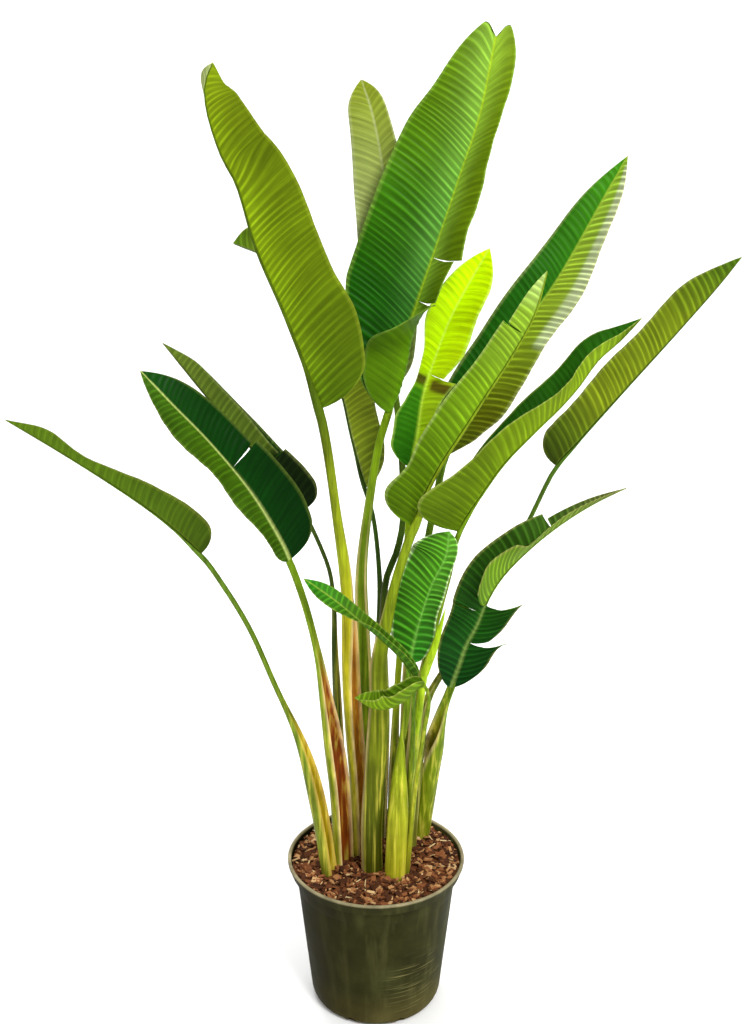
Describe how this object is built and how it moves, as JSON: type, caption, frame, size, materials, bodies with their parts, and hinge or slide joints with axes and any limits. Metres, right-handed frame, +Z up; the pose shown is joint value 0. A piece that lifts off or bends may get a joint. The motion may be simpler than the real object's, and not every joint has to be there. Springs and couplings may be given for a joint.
{
  "type": "potted bird of paradise plant",
  "caption": "Tall clump of long-stalked paddle-shaped leaves, some folded or torn, rising from bark-covered soil in a round tapered nursery pot.",
  "frame": {"origin": "middle of the flat underside of the pot, on the floor", "axes": "+Z up along the pot's axis, the front of the plant toward -Y"},
  "size_m": [1.0689, 0.3213, 1.6287],
  "materials": {
    "pot": "matt, dusty, scuffed",
    "soil": "rough bark chips",
    "leaf_olive": "satin, pale olive underside toward the viewer",
    "leaf_green": "satin to glossy green upper side",
    "leaf_deep": "glossy dark green upper side",
    "leaf_bright": "satin, young yellow-green leaf"
  },
  "bodies": {
    "root": {"leaf_upper_left": "leaf_olive", "leaf_top_centre": "leaf_green", "leaf_young_bright": "leaf_bright", "leaf_right_rear": "leaf_green", "leaf_right_folded": "leaf_olive", "leaf_right_middle": "leaf_olive", "leaf_far_right": "leaf_olive", "leaf_lower_right": "leaf_deep", "leaf_inner_low": "leaf_deep", "leaf_spear": "leaf_bright", "leaf_small_crossing": "leaf_green", "leaf_small_curled": "leaf_green", "leaf_far_left": "leaf_olive", "leaf_left_dark": "leaf_deep", "leaf_left_rear": "leaf_olive", "leaf_top_rear": "leaf_olive", "leaf_left_behind": "leaf_olive", "pot": "pot", "soil": "soil"}
  },
  "joints": []
}
